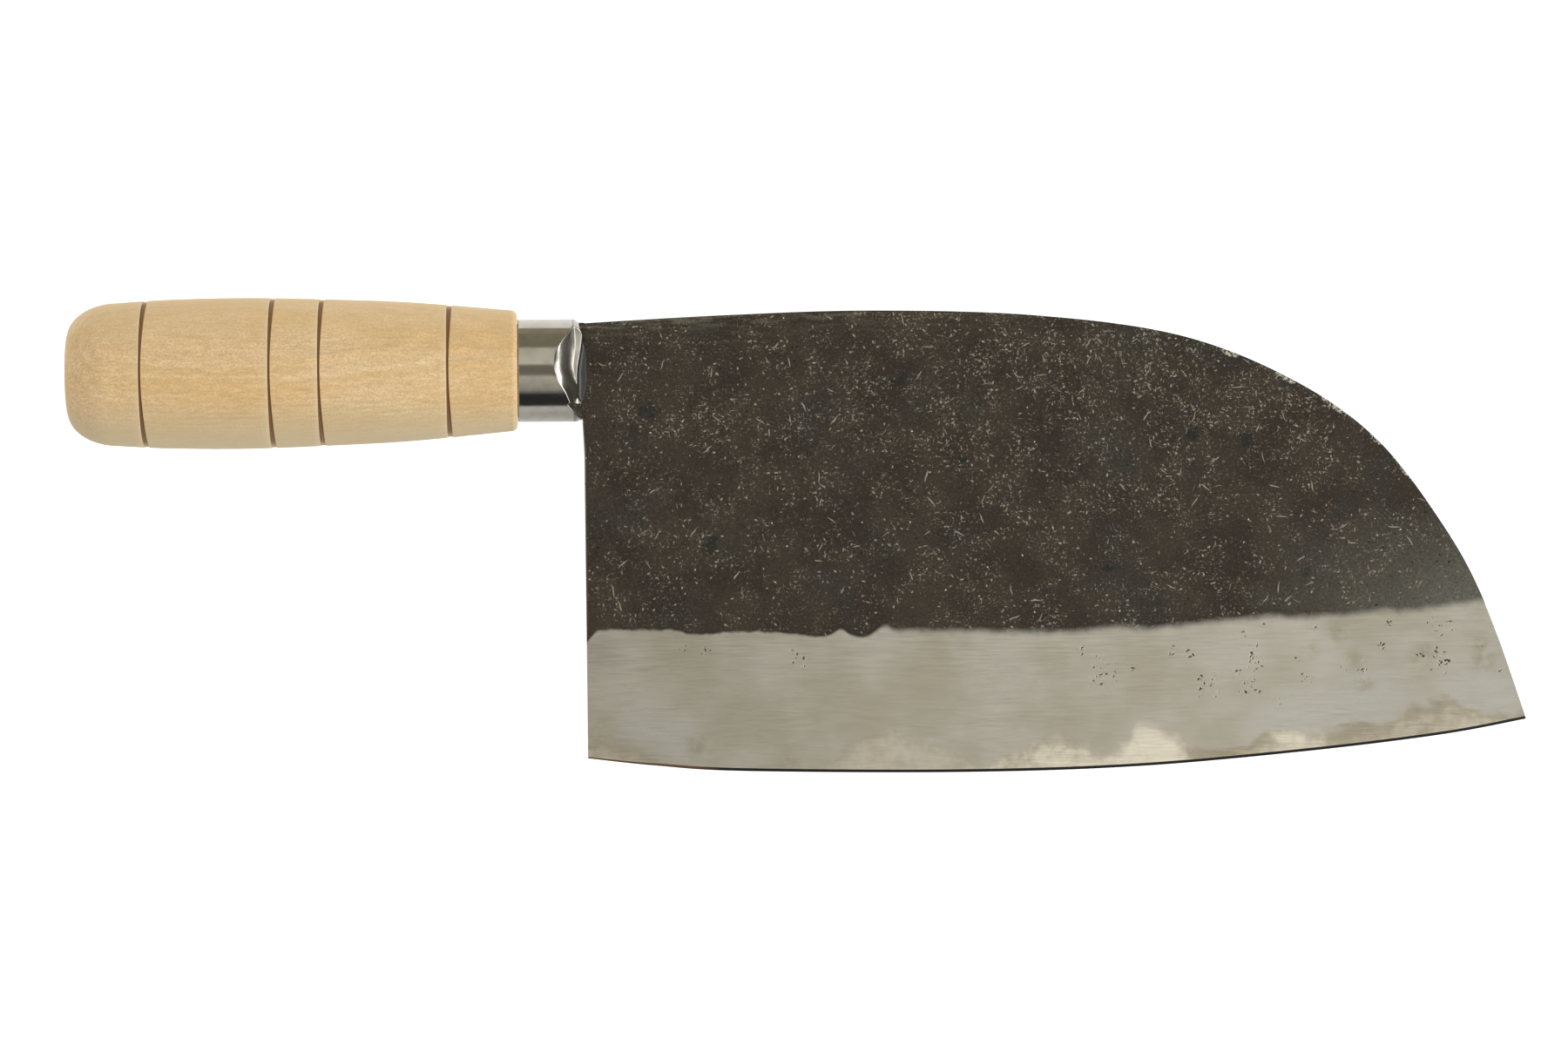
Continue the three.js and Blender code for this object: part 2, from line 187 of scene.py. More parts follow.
# Back edges of the dent that closes the ferrule on the blade and of the lip in front of it: height
# over the axis, place along it.
DENT_EDGE = [(-7.2, -2.6), (-4.5, -3.8), (-1.5, -5.9), (2, -6.4), (5.2, -4.7), (8.6, -2.2)]
LIP_EDGE = [
    (-7.2, -1.1), (-3.6, -1.2), (-1.8, -1.55), (0.8, -1.95), (3.4, -1.7), (6, -1.55), (8.6, -1.7),
]
DENT_POWER = 1.15
DENT_SOFTNESS = 1.15
DENT_TOP = 8.9
# Heights between which the dent turns from sharp to soft, above and below its middle.
SOFT_ABOVE = (6.0, 1.2)
SOFT_BELOW = (-4.5, -1)
# How fast the pressed surface climbs away behind the dent and over its top.
BEHIND_RISE = 8
TOP_RISE = 4
# Softness of the crease round the dent, and where it widens towards the top.
CREASE = 0.04
TOP_CREASE = 0.3
TOP_CREASE_RUN = (5.0, 8.5)
# Satin stretch across the dent, as shares of the way to the lip; there the ferrule is rougher and its
# colour is darkened as painted shade.
SATIN_START = (0.35, 0.6)
SATIN_END = (1.05, 0.9)
# Folded corner below the dent, and the lips on both sides of the slot.
FOLD_HEIGHT = -7.1
FOLD_BACK = -3.46
FOLD_RUN = 0.91
FOLD_SLOPE = 1.83
FOLD_HALF = 1.9
FOLD_BLEND = 0.3
LIP_HALF = 4.2
LIP_MIDDLE = 2.0
LIP_RISE = 0.035
LIP_SLOPE = 0.175
LIP_BLEND = 0.3
LIP_SET_BACK = 1.15
SET_BACK_TOP = (-1.5, 7.5)
SET_BACK_FOOT = (-7.5, -5.5)
SET_BACK_RUN = 3
SET_BACK_POWER = 1.5

# Handle: a turned barrel with its spigot and bore.
HANDLE_FRONT = -13.53
HANDLE_LENGTH = 93.65
HANDLE_RADIUS = 15.8
HANDLE_DROOP = 0.35
BARREL = [(0.13, 0.985), (0.33, 1.0), (0.55, 0.968), (0.75, 0.92)]
BUTT = HANDLE_FRONT - HANDLE_LENGTH
BUTT_FLAT = 8.0
BUTT_ROUND = 10.4
BUTT_CORNER = 0.946
FRONT_RADIUS = 12.6
FRONT_ROUND = 1.4
SPIGOT_FRONT = -8.23
SPIGOT_RADIUS = 9.8
BORE_RADIUS = 4.58
BORE_END = -66.0
# Grooves at shares of the handle's length from the butt, with a painted highlight along the lip behind
# each.
GROOVES = (0.1705, 0.4532, 0.5621, 0.845)
GROOVE_BACK = 0.25
GROOVE_NARROW = 0.55
GROOVE_WIDE = 1.2
GROOVE_SPREAD = 3.2
GROOVE_WALL = 0.14
GROOVE_DEPTH = 0.55
GROOVE_SIDE = 0.3
GROOVE_FADE = (0.1, 0.55)
GROOVE_LIP_PLACE = 0.12
GROOVE_LIP_WIDTH = 0.13
GROOVE_LIP_SHARE = 0.5
CUT_SPAN = (-0.5, 1.05)
CUT_STEPS = 32
# Fineness of the handle's mesh.
BARREL_STEP = 0.8
FRONT_GAP = 0.6
BUTT_GAP = 0.4
ROUND_STEPS = 14
HANDLE_SIDES = 180
# Offset of the handle's axis from the middle of the growth rings.
PITH = (0.0, 24.0, 38.0)

# Bead of resin at the ferrule's mouth.
BEAD_HEIGHT = 14.4
BEAD_BULGE = 0.95
BEAD_RIM = 0.2
BEAD_RIM_POWER = 10
BEAD_END_BACK = 1.55
BEAD_LAP = 0.3
BEAD_CLEARANCE = 0.3
BEAD_ROOT = 0.6
BEAD_STEPS = 24
BEAD_SECTIONS = 65

# Point of the butt_face mount in the knife's own frame.
BUTT_POINT = Vector((BUTT, 3.0, 1.0))

# Camera straight above the knife: its place in metres, its lens and sensor in millimetres.
CAMERA_PLACE = Vector((-0.00405, 0.00247, 0.92848))
CAMERA_ROLL = math.radians(0.48)
LENS = 100.0
SENSOR = 36.0

# Colours as linear red, green, blue and alpha.
WHITE = (1, 1, 1, 1)
OLIVE_STEEL = (0.585, 0.555, 0.465, 1)
GREY_STEEL = (0.675, 0.647, 0.587, 1)
WHITE_STEEL = (0.665, 0.665, 0.62, 1)
STAINED_STEEL = (0.49, 0.455, 0.35, 1)
DULL_STEEL = (0.48, 0.47, 0.42, 1)
DIM_CORE = (0.56, 0.51, 0.40, 1)
BRIGHT_CORE = (0.89, 0.84, 0.71, 1)
CORE_RIM = (0.43, 0.385, 0.29, 1)
PIT_BLACK = (0.03, 0.035, 0.036, 1)
# Dark of the cutting edge: painted reflection of its micro-bevel, browner towards the heel as painted
# shadow.
EDGE_BLACK = (0.03, 0.031, 0.032, 1)
EDGE_BROWN = (0.2, 0.12, 0.08, 1)
SCALE_DARK = (0.03, 0.0225, 0.0165, 1)
SCALE_BROWN = (0.043, 0.0337, 0.0242, 1)
SCALE_GREEN = (0.033, 0.032, 0.0255, 1)
SCALE_BLUE = (0.012, 0.0155, 0.0155, 1)
# Painted sheen that makes the scale paler towards the nose.
SCALE_SHEEN = (0.125, 0.124, 0.104, 1)
SCALE_RIM = (0.13, 0.125, 0.09, 1)
WARM_FLECK = (0.40, 0.335, 0.255, 1)
COOL_FLECK = (0.40, 0.385, 0.325, 1)
WORN_STEEL = (0.53, 0.505, 0.44, 1)
BRIGHT_DOT = (0.7, 0.67, 0.6, 1)
HOLE_BLACK = (0.008, 0.009, 0.009, 1)
WOOD_PALE = (0.805, 0.61, 0.368, 1)
WOOD_WARM = (0.76, 0.53, 0.272, 1)
WOOD_FIBRE = (0.5, 0.32, 0.15, 1)
WOOD_WEAVE = (0.58, 0.375, 0.18, 1)
WOOD_PORE = (0.48, 0.29, 0.13, 1)
# Painted shade on the barrel's edge side and painted light on its spine side.
WOOD_SHADED_GREY = (0.58, 0.49, 0.32, 1)
WOOD_LIT_GOLD = (0.9, 0.68, 0.385, 1)
GROOVE_BROWN = (0.3, 0.165, 0.075, 1)
# Painted highlight along the lip behind each groove.
GROOVE_HIGHLIGHT = (0.86, 0.74, 0.53, 1)
FERRULE_LIGHT = (0.475, 0.46, 0.42, 1)
FERRULE_DARK = (0.425, 0.41, 0.375, 1)
RESIN_DARK = (0.014, 0.015, 0.015, 1)
RESIN_LIGHT = (0.036, 0.037, 0.036, 1)
FLOOR_GREY = (0.36, 0.355, 0.345, 1)
FLOOR_PALE = (0.38, 0.375, 0.365, 1)
FLOOR_BROWN = (0.1, 0.09, 0.075, 1)
FAR_TINT = (1, 0.86, 0.63, 1)


def knife_frame():
    """Turns the knife's own frame, in metres, into the row frame."""
    mounts = {mount["name"]: mount for mount in frame["record"]["mounts"]}
    along = -Vector(mounts["butt_face"]["axis"]).normalized()
    flats = Vector(mounts["left_flat"]["axis"]) - Vector(mounts["right_flat"]["axis"])
    across = flats.cross(along).normalized()
    basis = Matrix((along, across, along.cross(across))).transposed()
    origin = Vector(mounts["butt_face"]["pos_m"]) - basis @ (BUTT_POINT * MM)
    return Matrix.Translation(origin) @ basis.to_4x4()


KNIFE = knife_frame()


def curve(points, steps=24):
    """Height of a smooth curve through the points, as a function of x."""
    xs, ys = [], []
    last = len(points) - 1
    for i in range(last):
        a, b, c, d = (np.array(points[k]) for k in (max(i - 1, 0), i, i + 1, min(i + 2, last)))
        start, end = (c - a) / 2, (d - b) / 2
        for t in np.linspace(0, 1, steps, endpoint=i == last - 1):
            cubic = (2 * b - 2 * c + start + end) * t**3
            square = (3 * c - 3 * b - 2 * start - end) * t**2
            x, y = cubic + square + start * t + b
            xs.append(x)
            ys.append(y)
    return lambda x: np.interp(x, xs, ys)


def on_blade(points):
    return [(HEEL_STEP + s * BLADE_LENGTH, CROWN_RISE - d * BLADE_HEIGHT) for s, d in points]


spine_at = curve(on_blade(SPINE))
edge_at = curve(on_blade(EDGE))
ground_at = curve(on_blade(GROUND))
scale_line = curve(SCALE_LINE)
core_line = curve(CORE_LINE)
core_shows = curve(CORE_SHOWS)
core_bright = curve(CORE_BRIGHT)
dent_edge = curve(DENT_EDGE)
lip_edge = curve(LIP_EDGE)


def smooth(value, low, high):
    """Smooth step from 0 at low to 1 at high."""
    share = np.clip((value - low) / (high - low), 0, 1)
    return share**2 * (3 - 2 * share)


def plate_half(x, y):
    along = (x - HEEL_STEP) / BLADE_LENGTH
    below = (CROWN_RISE - y) / BLADE_HEIGHT
    return (SPINE_THICKNESS - NOSE_TAPER * along - FACE_TAPER * below) / 2


def blade_half(x, y):
    """Half thickness of the finished blade: cutting bevel, ground bevel, then plate."""
    edge, ground = edge_at(x), ground_at(x)
    shoulder = edge + CUTTING_BEVEL
    share = (y - shoulder) / (ground - shoulder)
    bevel = EDGE_HALF + share * (plate_half(x, ground) - EDGE_HALF)
    cutting = EDGE_HALF * np.maximum(y - edge, 0) / CUTTING_BEVEL
    return np.where(y >= ground, plate_half(x, y), np.where(y <= shoulder, cutting, bevel))


def layer_line(x, half):
    """Line on the ground bevel where the blade is a given half thickness."""
    shoulder = edge_at(x) + CUTTING_BEVEL
    ground = ground_at(x)
    share = (half - EDGE_HALF) / (plate_half(x, ground) - EDGE_HALF)
    return shoulder + share * (ground - shoulder)


def crossing(difference, low, high):
    """Where a falling difference passes zero."""
    for _ in range(50):
        middle = (low + high) / 2
        low, high = (middle, high) if difference(middle) > 0 else (low, middle)
    return low


CLADDING_END = crossing(lambda x: spine_at(x) - layer_line(x, WELD_HALF), 0.95 * TIP, TIP)


def piece(name, rings, material, closed=False, fields=None, crease=30):
    """Mesh through equal rings of points that stands for the CAD node of the same name."""
    grid = np.array(rings, dtype=float)
    count, size = grid.shape[:2]
    index = np.arange(count * size).reshape(count, size)
    faces = []
    for i in range(count if closed else count - 1):
        near, far = index[i], index[(i + 1) % count]
        faces += np.stack([near, np.roll(near, -1), np.roll(far, -1), far], 1).tolist()
    if not closed:
        faces += [index[0][::-1].tolist(), index[-1].tolist()]
    mesh = bpy.data.meshes.new(name)
    mesh.from_pydata([KNIFE @ Vector(point) for point in grid.reshape(-1, 3) * MM], [], faces)
    for field, values in (fields or {}).items():
        layer = mesh.attributes.new(field, "FLOAT", "POINT")
        layer.data.foreach_set("value", np.array(values, dtype=np.float32).ravel())
    work = bmesh.new()
    work.from_mesh(mesh)
    bmesh.ops.remove_doubles(work, verts=work.verts, dist=MERGE_DISTANCE * MM)
    bmesh.ops.dissolve_degenerate(work, edges=work.edges, dist=THIN_EDGE * MM)
    bmesh.ops.recalc_face_normals(work, faces=work.faces)
    for face in work.faces:
        face.smooth = True
    work.to_mesh(mesh)
    work.free()
    mesh.set_sharp_from_angle(angle=math.radians(crease))
    mesh.materials.append(material)
    made = bpy.data.objects.new(name, mesh)
    bpy.context.scene.collection.objects.link(made)
    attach(made, "root")
    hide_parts(name)


class Nodes:
    """Node tree whose values are plain numbers or the outputs of other nodes."""

    def __init__(self, tree):
        self.tree = tree

    def plug(self, socket, value):
        if isinstance(value, bpy.types.NodeSocket):
            self.tree.links.new(value, socket)
        else:
            socket.default_value = value

    def node(self, kind, inputs, output=0, **settings):
        made = self.tree.nodes.new("ShaderNode" + kind)
        for key, value in settings.items():
            setattr(made, key, value)
        for key, value in inputs.items():
            self.plug(made.inputs[key], value)
        return made.outputs[output]

    def axis(self, place, name):
        return self.node("SeparateXYZ", {0: place}, output=name)

    def math(self, operation, a, b=0.0):
        return self.node("Math", {0: a, 1: b}, operation=operation)

    def times(self, a, b):
        return self.math("MULTIPLY", a, b)

    def step(self, value, low, high, start=0.0, end=1.0):
        """Smooth step from start at low to end at high."""
        inputs = {"Value": value, 1: low, 2: high, 3: start, 4: end}
        return self.node("MapRange", inputs, interpolation_type="SMOOTHSTEP")

    def mix(self, share, a, b):
        """Colour between two others."""
        return self.node("Mix", {0: share, 6: a, 7: b}, output=2, data_type="RGBA")

    def blend(self, share, a, b):
        """Number between two others."""
        return self.node("Mix", {0: share, 2: a, 3: b}, data_type="FLOAT")


class Shader(Nodes):
    """Node material of one surface."""

    def __init__(self, name):
        self.material = bpy.data.materials.new(name)
        self.material.use_nodes = True
        super().__init__(self.material.node_tree)
        self.surface = self.tree.nodes["Principled BSDF"]

    def finish(self, **values):
        for key, value in values.items():
            self.plug(self.surface.inputs[key.replace("_", " ")], value)
        return self.material

    def millimetres(self):
        """Place on the piece, in the knife's own frame."""
        inputs = {
            "Vector": self.node("TexCoord", {}, output="Object"),
            "Location": KNIFE.to_translation(),
            "Rotation": KNIFE.to_euler(),
            "Scale": (MM, MM, MM),
        }
        return self.node("Mapping", inputs, vector_type="TEXTURE")

    def field(self, name):
        return self.node("Attribute", {}, output="Fac", attribute_name=name)

    def scaled(self, place, factors):
        return self.node("VectorMath", {0: place, 1: factors}, operation="MULTIPLY")

    def moved(self, place, offset):
        return self.node("VectorMath", {0: place, 1: offset})

    def shade(self, colour, factor):
        return self.node("VectorMath", {0: colour, "Scale": factor}, operation="SCALE")

    def noise(self, place, size, detail=2.0, roughness=0.5):
        inputs = {"Vector": place, "Scale": 1 / size, "Detail": detail, "Roughness": roughness}
        return self.node("TexNoise", inputs)

    def wavy(self, place, size, reach):
        """Place pushed about by noise, so that marks on it are not straight."""
        inputs = {"Vector": place, "Scale": 1 / size, "Detail": 1.0}
        push = self.node("TexNoise", inputs, output="Color")
        centred = self.moved(push, (-0.5, -0.5, -0.5))
        return self.moved(place, self.scaled(centred, (2 * reach, 2 * reach, 0)))

    def strokes(self, place, cell, length, width, share):
        """Short scratches, at most one in each cell, turned at random."""
        inputs = {"Vector": place, "Scale": 1 / cell}
        cells = self.node("TexVoronoi", inputs, voronoi_dimensions="2D").node
        dice = self.node("SeparateColor", {0: cells.outputs["Color"]}).node
        turn, draw, size = dice.outputs
        middle = {0: place, 1: cells.outputs["Position"]}
        local = self.node("VectorMath", middle, operation="SUBTRACT")
        spin = {"Vector": local, "Angle": self.times(turn, math.tau)}
        turned = self.node("VectorRotate", spin, rotation_type="Z_AXIS")
        shaped = self.scaled(turned, (1 / length, 1 / width, 0))
        reach = self.node("VectorMath", {0: shaped}, output="Value", operation="LENGTH")
        reach = self.times(reach, self.step(size, 0.0, 1.0, 2.0, 0.8))
        mark = self.step(reach, 1.0, 0.3, 0.0, self.step(size, 0.0, 1.0, 0.3, 1.0))
        drawn = self.step(draw, self.math("ADD", share, 0.02), share)
        return self.times(mark, drawn)

    def bump(self, height, distance, strength):
        """Bumps with their distance in millimetres."""
        inputs = {"Height": height, "Distance": distance * MM, "Strength": strength}
        return self.node("Bump", inputs)


def bevel_grey(shader, place, mottle):
    """Colour of the soft steel on the ground bevel, streaked near the scale."""
    clouds = shader.noise(place, 16.0, 3.0, 0.5)
    grey = shader.mix(shader.step(clouds, 0.35, 0.65), OLIVE_STEEL, GREY_STEEL)
    grey = shader.mix(shader.field("cloud"), grey, WHITE_STEEL)
    stained = shader.times(shader.field("stain"), shader.step(mottle, 0.35, 0.6))
    grey = shader.mix(shader.times(stained, 0.8), grey, STAINED_STEEL)
    grey = shader.mix(shader.field("dull"), grey, DULL_STEEL)
    streaks = shader.noise(shader.scaled(place, (0.16, 3.0, 1.0)), 1.3, 3.0, 0.6)
    upper = shader.step(shader.field("scale_line"), -16.0, -2.0, 0.25, 1.0)
    streaked = shader.step(streaks, 0.34, 0.6, 0.93, 1.025)
    return shader.shade(grey, shader.blend(upper, 1.0, streaked))


def bare_core(shader, fine, below, bright):
    """Colour of the hard core, with a darker rim along its cloudy line."""
    bare = shader.mix(bright, DIM_CORE, BRIGHT_CORE)
    rim = shader.times(shader.step(below, 3.2, 0.0), shader.step(bright, 0.9, 0.3, 0.1, 0.8))
    bare = shader.mix(rim, bare, CORE_RIM)
    return shader.shade(bare, shader.step(fine, 0.3, 0.7, 0.88, 1.1))


def ground_steel(shader, place):
    """Colour, roughness and height of the ground bevel and of the core that shows on it."""
    fine = shader.noise(shader.scaled(place, (0.06, 3.0, 1.0)), 0.35, 2.0)
    mottle = shader.noise(place, 2.5, 3.0, 0.6)
    ragged = shader.noise(shader.scaled(place, (0.5, 1.0, 1.0)), 3.0, 3.0, 0.6)
    uneven = shader.step(ragged, 0.2, 0.8, -1.6, 1.6)
    below = shader.math("SUBTRACT", uneven, shader.field("core_line"))
    cloudy = shader.step(mottle, 0.3, 0.7, -0.2, 0.2)
    bright = shader.math("ADD", shader.field("core_bright"), cloudy)
    shown = shader.times(shader.step(below, -1.5, 1.7), shader.field("core_shows"))
    grey = bevel_grey(shader, place, mottle)
    bare = bare_core(shader, fine, below, bright)
    along = shader.axis(place, "X")
    # Painted shade: the bevel's colour is darkened towards the heel and towards the nose.
    heel_shade = shader.step(along, 20.0, 70.0, 0.92, 0.99)
    nose_shade = shader.step(along, 140.0, 185.0, 1.0, 0.9)
    colour = shader.shade(shader.mix(shown, grey, bare), shader.times(heel_shade, nose_shade))

    pits = shader.strokes(shader.wavy(place, 0.5, 0.35), 0.9, 0.58, 0.25, shader.field("pits"))
    colour = shader.mix(shader.times(pits, 0.95), colour, PIT_BLACK)
    rough = shader.step(fine, 0.3, 0.7, 0.34, 0.42)
    rough = shader.blend(shader.times(shown, bright), rough, 0.48)
    height = shader.math("SUBTRACT", fine, shader.times(pits, 3.0))
    return colour, rough, height


def sound_scale(shader, place, shifted, grain, blue):
    """Colour of unworn scale: dark and brown patches, blue spots, painted sheen that makes the nose
    paler, and a paler spine.
    """
    patches = shader.noise(place, 13.0, 5.0, 0.65)
    base = shader.mix(shader.step(patches, 0.38, 0.62), SCALE_DARK, SCALE_BROWN)
    drift = shader.noise(shifted, 20.0, 3.0, 0.6)
    base = shader.mix(shader.step(drift, 0.52, 0.72), base, SCALE_GREEN)
    base = shader.mix(shader.times(blue, 0.75), base, SCALE_BLUE)
    # Painted sheen: the scale is paler towards the nose, near the scale line.
    base = shader.mix(shader.field("pale"), base, SCALE_SHEEN)
    thin = shader.noise(shader.scaled(shifted, (0.15, 1.0, 1.0)), 0.9, 3.0, 0.6)
    rim = shader.times(shader.field("rim"), shader.step(thin, 0.45, 0.62))
    base = shader.mix(rim, base, SCALE_RIM)
    return shader.shade(base, shader.step(grain, 0.3, 0.7, 0.72, 1.3))


def wear_share(shader, place, shifted, clear):
    """How worn the scale is: in clusters, and more towards the nose and the spine."""
    dense = shader.step(shader.noise(shifted, 8.0, 3.0, 0.6), 0.36, 0.62, 0.25, 1.0)
    dense = shader.times(dense, shader.step(shader.axis(place, "X"), 10.0, 110.0, 0.9, 1.35))
    dense = shader.times(dense, shader.step(shader.axis(place, "Y"), -35.0, 0.0, 0.95, 1.4))
    cluster = shader.step(shader.noise(place, 3.2, 5.0, 0.7), 0.34, 0.68, 0.25, 1.15)
    return shader.times(shader.times(dense, cluster), clear)


def wear_marks(shader, place, shifted, bent, worn):
    """Flecks, short marks and longer scratches where the scale is worn."""
    level = shader.noise(shader.scaled(place, (0.65, 1.3, 1.0)), 0.5, 3.0, 0.6)
    upright = shader.noise(shader.scaled(shifted, (1.3, 0.65, 1.0)), 0.5, 3.0, 0.6)
    flecks = shader.step(shader.math("MAXIMUM", level, upright), 0.585, 0.79, 0.0, 1.3)
    marks = shader.strokes(bent, 1.1, 0.45, 0.2, shader.times(worn, 0.5))
    broken = shader.step(shader.noise(shifted, 0.5, 2.0, 0.6), 0.3, 0.62, 0.15, 1.0)
    farther = shader.moved(bent, (83.0, 47.0, 0.0))
    lines = shader.strokes(farther, 3.0, 1.5, 0.15, shader.times(worn, 0.45))
    scratched = shader.math("MAXIMUM", shader.times(marks, broken), shader.times(lines, 0.8))
    return shader.math("MAXIMUM", scratched, shader.times(flecks, worn))


def heel_highlight(shader, place):
    """Strength of the painted highlight, a thin pale line along the heel, which fades towards the
    bevel.
    """
    along, height = shader.axis(place, "X"), shader.axis(place, "Y")
    curved = shader.step(height, -10.0, -18.0, 0.0, 0.39)
    leaning = shader.step(height, -18.0, -82.0, 0.0, 0.21)
    inward = shader.math("SUBTRACT", along, shader.math("ADD", curved, leaning))
    fading = shader.step(height, -60.0, -12.0, 0.1, 0.7)
    line = shader.times(shader.step(inward, 0.3, 0.08), fading)
    return shader.times(line, shader.step(height, -10.0, -11.0))


def forge_scale(shader, place):
    """Colour and height of the black forge scale with its wear."""
    shifted = shader.moved(place, (57.0, 23.0, 0.0))
    grain = shader.noise(place, 0.5, 3.0, 0.7)
    blotch = shader.step(shader.noise(place, 1.6, 3.0, 0.65), 0.3, 0.7, -0.3, 0.3)
    blue = shader.step(shader.math("ADD", shader.field("blue"), blotch), 0.5, 0.75)
    clear = shader.step(shader.field("scale_line"), 0.0, 1.2)
    # Fewer wear marks where the scale is painted paler as sheen.
    clear = shader.times(clear, shader.step(shader.field("pale"), 0.0, 0.8, 1.0, 0.3))
    clear = shader.times(clear, shader.step(blue, 0.2, 1.0, 1.0, 0.15))
    worn = wear_share(shader, place, shifted, clear)
    base = sound_scale(shader, place, shifted, grain, blue)
    base = shader.shade(base, shader.step(worn, 0.2, 1.2, 1.0, 1.12))

    bent = shader.wavy(place, 1.1, 0.22)
    tint = shader.noise(shifted, 3.4, 2.0)
    light = shader.mix(shader.step(tint, 0.42, 0.58), WARM_FLECK, COOL_FLECK)
    colour = shader.mix(wear_marks(shader, place, shifted, bent, worn), base, light)
    # Painted highlight: a thin pale line along the heel.
    colour = shader.mix(heel_highlight(shader, place), colour, light)
    scuffed = shader.times(shader.field("wear"), shader.step(grain, 0.42, 0.58, 0.25, 1.7))
    colour = shader.mix(shader.step(scuffed, 0.25, 0.55), colour, WORN_STEEL)
    dots = shader.strokes(shader.moved(place, (11.0, 71.0, 0.0)), 2.4, 0.26, 0.16, 0.05)
    colour = shader.mix(shader.times(dots, clear), colour, BRIGHT_DOT)
    holes = shader.strokes(shader.moved(bent, (5.0, 93.0, 0.0)), 1.5, 0.36, 0.22, 0.14)
    colour = shader.mix(holes, colour, HOLE_BLACK)
    height = shader.math("SUBTRACT", grain, shader.times(holes, 1.5))
    return shader.shade(colour, 0.95), height


def cladding_material():
    shader = Shader("forged_cladding")
    place = shader.millimetres()
    steel, steel_rough, steel_height = ground_steel(shader, place)
    scale, scale_height = forge_scale(shader, place)
    ragged = shader.step(shader.noise(place, 3.0, 2.0, 0.5), 0.2, 0.8, -0.3, 0.3)
    above = shader.math("ADD", shader.field("scale_line"), ragged)
    soft = shader.step(shader.axis(place, "X"), 57.0, 68.0, 0.5, 1.4)
    black = shader.step(above, shader.times(soft, -1.0), soft)
    return shader.finish(
        Base_Color=shader.mix(black, steel, scale),
        Roughness=shader.blend(black, steel_rough, 0.55),
        Metallic=shader.math("SUBTRACT", 1.0, black),
        Specular_IOR_Level=0.22,
        Normal=shader.bump(shader.blend(black, steel_height, scale_height), 0.02, 0.6),
    )


def core_material():
    shader = Shader("core_steel")
    place = shader.millimetres()
    steel, rough, height = ground_steel(shader, place)
    along = shader.axis(place, "X")
    # Dark strip along the cutting edge: painted reflection of its micro-bevel, with painted shadow in
    # brown towards the heel.
    painted_edge_dark = shader.mix(shader.step(along, 30.0, 22.0), EDGE_BLACK, EDGE_BROWN)
    depth = shader.step(along, 2.0, 24.0, 0.3, 0.6)
    edge = shader.step(shader.field("above_edge"), shader.math("ADD", depth, 0.08), depth)
    return shader.finish(
        Base_Color=shader.mix(edge, steel, painted_edge_dark), Roughness=rough, Metallic=1.0,
        Normal=shader.bump(height, 0.02, 0.6),
    )


def wood_material():
    shader = Shader("turned_wood")
    place = shader.millimetres()
    broad = shader.noise(shader.scaled(place, (0.15, 1.0, 1.0)), 6.0, 4.0, 0.6)
    base = shader.mix(shader.step(broad, 0.4, 0.62), WOOD_PALE, WOOD_WARM)
    growth = {"Vector": shader.moved(place, PITH), "Scale": 0.3, "Distortion": 3.0, "Detail": 2.0}
    rings = shader.node("TexWave", growth, output="Fac", wave_type="RINGS", rings_direction="X")
    base = shader.shade(base, shader.step(rings, 0.0, 1.0, 0.96, 1.03))
    fibre = shader.noise(shader.scaled(place, (0.025, 1.0, 1.0)), 1.3, 2.0)
    off_line = shader.math("ABSOLUTE", shader.math("SUBTRACT", fibre, 0.5))
    base = shader.mix(shader.step(off_line, 0.025, 0.0, 0.0, 0.3), base, WOOD_FIBRE)
    weave = shader.noise(shader.scaled(place, (0.8, 1.0, 1.0)), 0.37, 3.0, 0.8)
    base = shader.mix(shader.step(weave, 0.6, 0.36, 0.0, 0.7), base, WOOD_WEAVE)
    grain = shader.noise(shader.scaled(place, (0.3, 1.0, 1.0)), 0.8, 3.0, 0.7)
    base = shader.shade(base, shader.step(grain, 0.3, 0.7, 0.92, 1.07))
    pores = shader.strokes(place, 0.6, 0.26, 0.07, 0.3)
    base = shader.mix(shader.times(pores, 0.4), base, WOOD_PORE)
    across = shader.axis(place, "Y")
    # Painted shade and painted light: greyer towards the edge side of the barrel, more golden towards
    # the spine side.
    base = shader.mix(shader.step(across, -5.0, -14.0, 0.0, 0.7), base, WOOD_SHADED_GREY)
    base = shader.mix(shader.step(across, 4.0, 14.0, 0.0, 0.5), base, WOOD_LIT_GOLD)
    groove = shader.field("groove")
    base = shader.mix(shader.step(groove, 0.1, 0.7), base, GROOVE_BROWN)
    # Painted highlight along the lip behind each groove.
    base = shader.mix(shader.field("lip"), base, GROOVE_HIGHLIGHT)
    rough = shader.step(weave, 0.3, 0.7, 0.45, 0.6)
    return shader.finish(
        Base_Color=base, Roughness=rough, Specular_IOR_Level=0.35,
        Normal=shader.bump(weave, 0.03, 0.4),
    )


def ferrule_material():
    shader = Shader("polished_ferrule")
    place = shader.millimetres()
    haze = shader.noise(place, 2.5, 3.0, 0.6)
    turned = shader.noise(shader.scaled(place, (6.0, 0.5, 0.5)), 0.9, 3.0)
    colour = shader.mix(shader.step(haze, 0.4, 0.7), FERRULE_LIGHT, FERRULE_DARK)
    rough = shader.step(haze, 0.3, 0.75, 0.1, 0.17)
    rough = shader.blend(shader.field("dull"), rough, 0.34)
    # Painted shade: the colour is darkened across the dent's satin stretch.
    colour = shader.shade(colour, shader.step(shader.field("dull"), 0.0, 1.0, 1.0, 0.6))
    return shader.finish(
        Base_Color=colour, Roughness=rough, Metallic=1.0, Normal=shader.bump(turned, 0.012, 0.3)
    )


